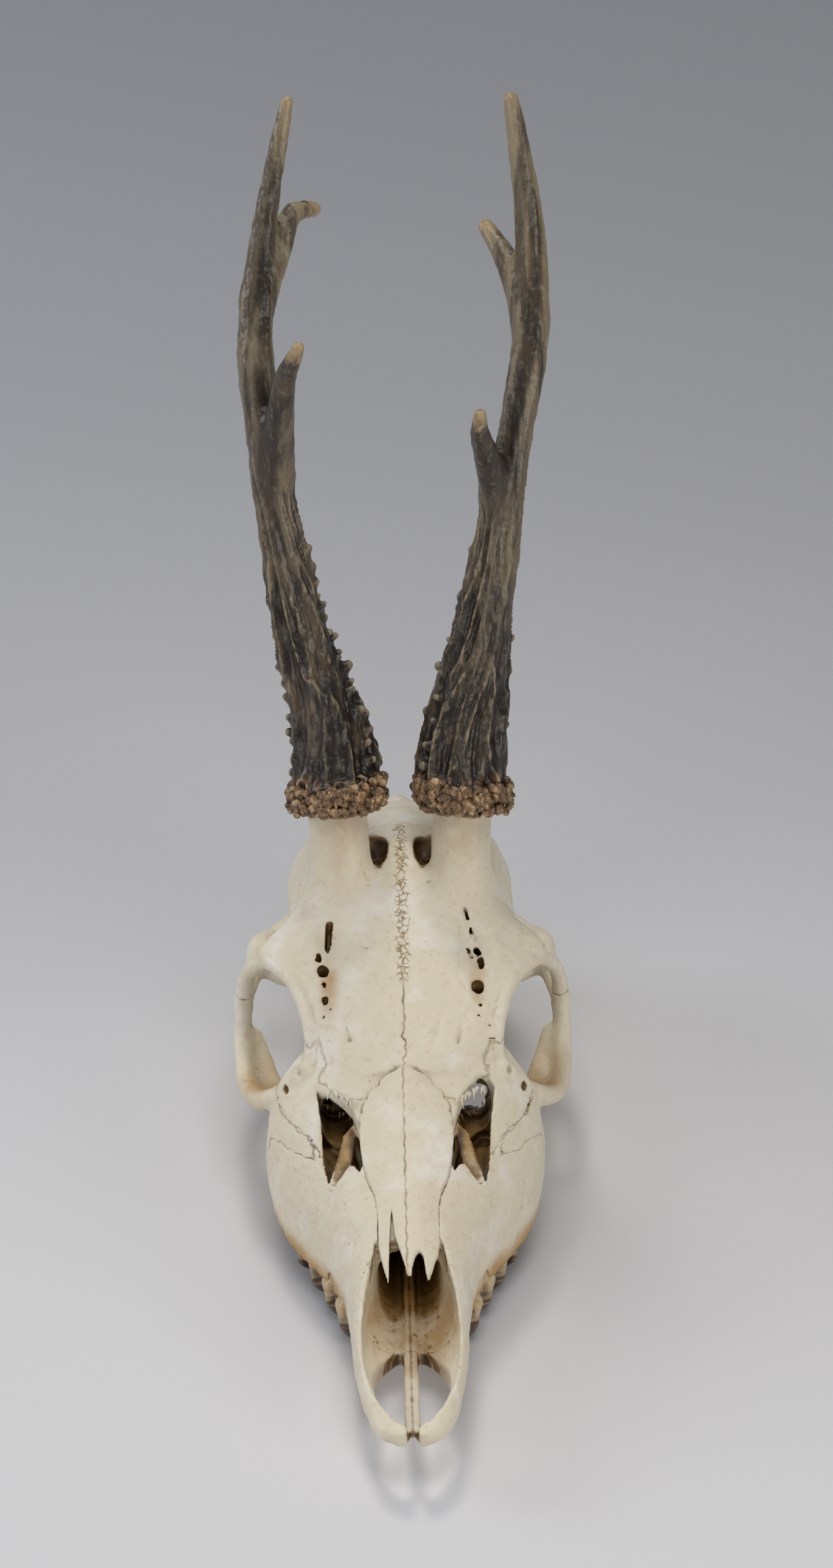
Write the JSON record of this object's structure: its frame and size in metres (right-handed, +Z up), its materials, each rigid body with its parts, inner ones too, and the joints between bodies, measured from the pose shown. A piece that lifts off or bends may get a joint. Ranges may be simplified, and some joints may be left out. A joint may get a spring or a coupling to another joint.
{
  "type": "roe deer skull with antlers",
  "caption": "Life-size skull of a roe deer buck with three-pointed antlers, upper jaw only, resting on its rear teeth and the processes beside the condyles.",
  "frame": {"origin": "middle of the model's box across and along, at the level of the table it rests on", "axes": "+Z up from the table, +Y from the nose towards the back of the head, +X to the viewer's right when the nose points at the viewer"},
  "size_m": [0.0858, 0.2294, 0.2478],
  "materials": {
    "bone": "dry cream-white bone, satin, stained tan in its hollows",
    "antler": "dark brown ridged antler, paler grey-brown towards ivory tips"
  },
  "bodies": {
    "root": {"premaxilla_left": "bone", "premaxilla_right": "bone", "lacrimal_left": "bone", "lacrimal_right": "bone", "jugal_left": "bone", "jugal_right": "bone", "maxilla_left": "bone", "maxilla_right": "bone", "frontal_left": "bone", "frontal_right": "bone", "braincase": "bone", "nasal_left": "bone", "nasal_right": "bone", "antler_left_burr": "antler", "antler_left_beam_lower": "antler", "antler_left_beam_middle": "antler", "antler_left_beam_top": "antler", "antler_left_tine_front": "antler", "antler_left_tine_rear": "antler", "antler_right_burr": "antler", "antler_right_beam_lower": "antler", "antler_right_beam_middle": "antler", "antler_right_beam_top": "antler", "antler_right_tine_front": "antler", "antler_right_tine_rear": "antler"}
  },
  "joints": []
}
